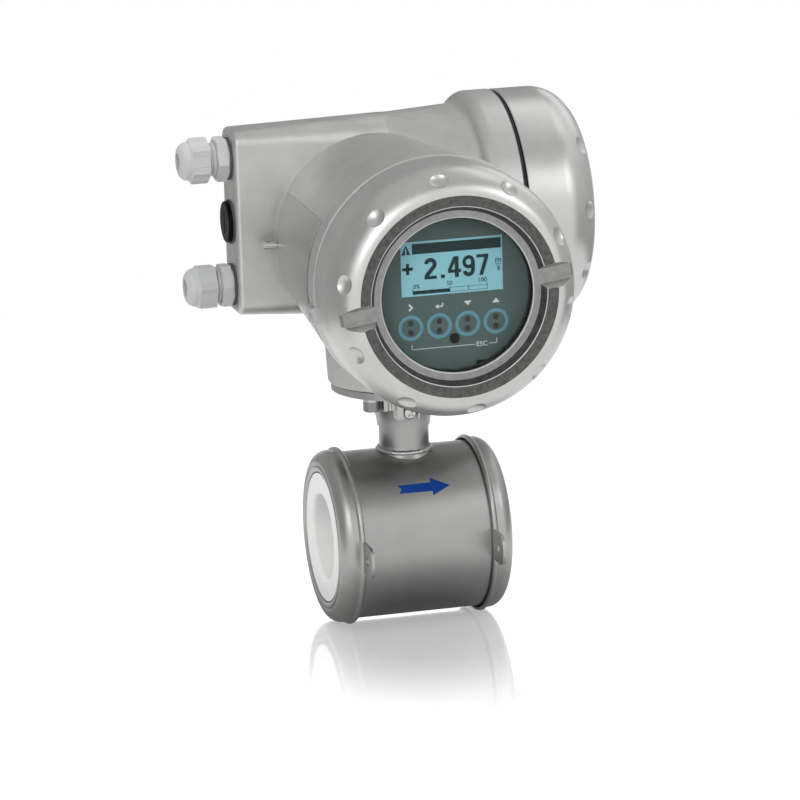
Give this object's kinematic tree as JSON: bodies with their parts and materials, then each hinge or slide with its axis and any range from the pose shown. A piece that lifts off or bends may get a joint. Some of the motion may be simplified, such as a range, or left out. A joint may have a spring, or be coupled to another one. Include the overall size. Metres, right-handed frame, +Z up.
{
  "type": "electromagnetic flow meter",
  "caption": "Wafer-style flow meter: ceramic-lined steel sensor ring with a neck that carries a two-chamber transmitter head with window cover, display and cable glands.",
  "frame": {"origin": "middle of the measuring bore, halfway between the two pipe faces", "axes": "+X along the bore with the flow, -Y towards the side the display faces, +Z up through the neck"},
  "size_m": [0.2409, 0.2689, 0.2991],
  "materials": {
    "stainless_body": "satin, bead blasted",
    "ceramic": "smooth fired ceramic",
    "seals": "matte",
    "coil_copper": "enamelled copper wire",
    "magnet_iron": "bare",
    "fasteners": "bright",
    "earth_block": "satin",
    "cast_head": "satin, bead-blasted casting",
    "plate": "fine brushed",
    "window": "clear",
    "dark_plastic": "fine matte",
    "lens": "clear dark",
    "lcd": "glossy",
    "board": "solder resist",
    "can": "bare sheet",
    "terminal_plastic": "moulded",
    "gland_plastic": "moulded",
    "plug_plastic": "gloss"
  },
  "bodies": {
    "meter": {"can_screws": "fasteners", "carrier_screws": "fasteners", "converter_housing": "cast_head", "cover_lock_screw": "fasteners", "display_board": "board", "earth_clamp": "earth_block", "earth_screw": "fasteners", "electrodes": "fasteners", "electronics_can": "can", "faceplate": "dark_plastic", "flange_screws": "fasteners", "inlet_ring": "stainless_body", "inlet_tube_seal": "seals", "key_lenses": "lens", "lcd_panel": "lcd", "lower_field_coil": "coil_copper", "lower_gland_body": "gland_plastic", "lower_gland_washer": "seals", "lower_pole_core": "magnet_iron", "magnet_yoke": "magnet_iron", "measuring_tube": "ceramic", "neck_gasket": "seals", "outlet_ring": "stainless_body", "outlet_tube_seal": "seals", "power_board": "board", "seal_eyelet": "fasteners", "sensor_housing": "stainless_body", "signal_board": "board", "spring_washers": "fasteners", "terminal_block": "terminal_plastic", "terminal_carrier": "dark_plastic", "terminal_screws": "fasteners", "type_plate": "plate", "upper_field_coil": "coil_copper", "upper_gland_body": "gland_plastic", "upper_gland_washer": "seals", "upper_pole_core": "magnet_iron", "wire_bushing": "dark_plastic"},
    "front_seal_carrier": {"cover_seal": "seals"},
    "front_window_cover": {"front_cover": "cast_head", "window_glass": "window", "glass_retainer": "dark_plastic"},
    "rear_seal_carrier": {"cap_seal": "seals"},
    "rear_blind_cap": {"rear_cap": "cast_head"},
    "upper_insert": {"upper_seal_insert": "seals"},
    "upper_nut": {"upper_dome_nut": "gland_plastic"},
    "lower_insert": {"lower_seal_insert": "seals"},
    "lower_nut": {"lower_dome_nut": "gland_plastic"},
    "plug_seat": {"plug_washer": "seals"},
    "plug": {"blind_plug": "plug_plastic"}
  },
  "joints": [
    {"name": "front_cover_travel", "type": "slide", "parent": "meter", "child": "front_seal_carrier", "axis": [0, -1, 0], "range_m": [0, 0.01201]},
    {"name": "front_cover_turn", "type": "hinge", "parent": "front_seal_carrier", "child": "front_window_cover", "pos_m": [0, 0, 0.1664], "axis": [0, -1, 0], "range_deg": [0, 1440]},
    {"name": "rear_cap_travel", "type": "slide", "parent": "meter", "child": "rear_seal_carrier", "axis": [1, 0, 0], "range_m": [0, 0.01201]},
    {"name": "rear_cap_turn", "type": "hinge", "parent": "rear_seal_carrier", "child": "rear_blind_cap", "pos_m": [0, 0.0685, 0.1763], "axis": [1, 0, 0], "range_deg": [0, 1440]},
    {"name": "upper_nut_travel", "type": "slide", "parent": "meter", "child": "upper_insert", "axis": [-1, 0, 0], "range_m": [0, 0.00376]},
    {"name": "upper_nut_turn", "type": "hinge", "parent": "upper_insert", "child": "upper_nut", "pos_m": [-0.0842, 0.0685, 0.2174], "axis": [-1, 0, 0], "range_deg": [0, 900]},
    {"name": "lower_nut_travel", "type": "slide", "parent": "meter", "child": "lower_insert", "axis": [-1, 0, 0], "range_m": [0, 0.00376]},
    {"name": "lower_nut_turn", "type": "hinge", "parent": "lower_insert", "child": "lower_nut", "pos_m": [-0.0842, 0.0685, 0.1414], "axis": [-1, 0, 0], "range_deg": [0, 900]},
    {"name": "blind_plug_travel", "type": "slide", "parent": "meter", "child": "plug_seat", "axis": [-1, 0, 0], "range_m": [0, 0.00751]},
    {"name": "blind_plug_turn", "type": "hinge", "parent": "plug_seat", "child": "plug", "pos_m": [-0.0842, 0.0685, 0.1794], "axis": [-1, 0, 0], "range_deg": [0, 1800]}
  ],
  "couplings": [
    {"joint": "front_cover_travel", "follows": "front_cover_turn", "m_per_rad": 0.00047746},
    {"joint": "rear_cap_travel", "follows": "rear_cap_turn", "m_per_rad": 0.00047746},
    {"joint": "upper_nut_travel", "follows": "upper_nut_turn", "m_per_rad": 0.00023873},
    {"joint": "lower_nut_travel", "follows": "lower_nut_turn", "m_per_rad": 0.00023873},
    {"joint": "blind_plug_travel", "follows": "blind_plug_turn", "m_per_rad": 0.00023873}
  ]
}
